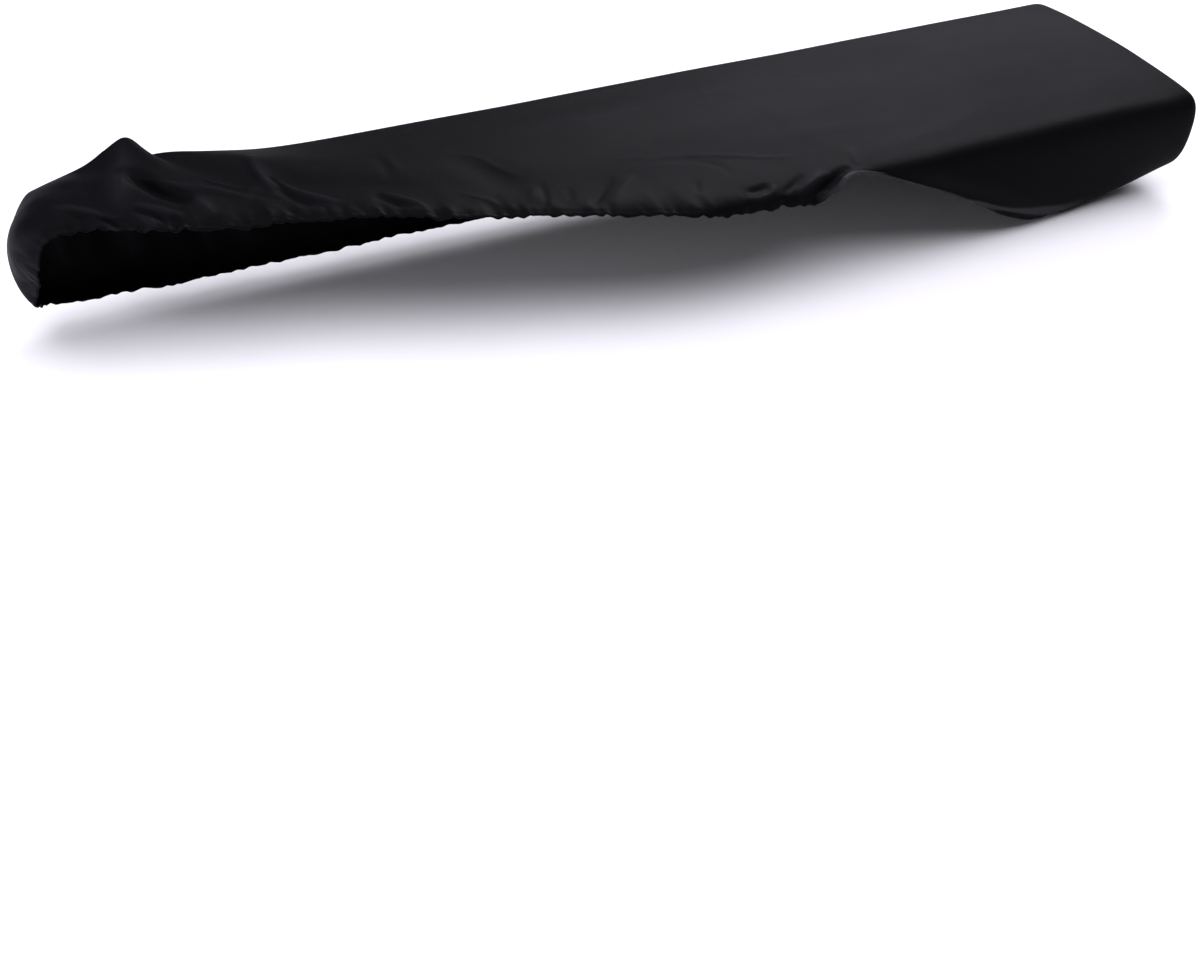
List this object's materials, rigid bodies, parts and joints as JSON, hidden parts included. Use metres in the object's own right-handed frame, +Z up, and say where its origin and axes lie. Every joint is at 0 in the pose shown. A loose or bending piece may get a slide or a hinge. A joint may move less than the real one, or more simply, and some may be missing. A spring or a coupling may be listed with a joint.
{
  "type": "piano cover",
  "caption": "Fitted cover of black stretch cloth for a slab digital piano, pulled tight over one end, with its front hem lifted onto the top and gathered at the other.",
  "frame": {"origin": "on the underside of the cover's top, in the middle of the plan of the body that it covers", "axes": "+Z up, +X along the cover's length towards its taut end, -Y towards the front, where the hem is lifted"},
  "size_m": [1.3385, 0.3244, 0.1763],
  "materials": {
    "cloth": "soft satin stretch knit"
  },
  "bodies": {
    "root": {"cover": "cloth"}
  },
  "joints": []
}
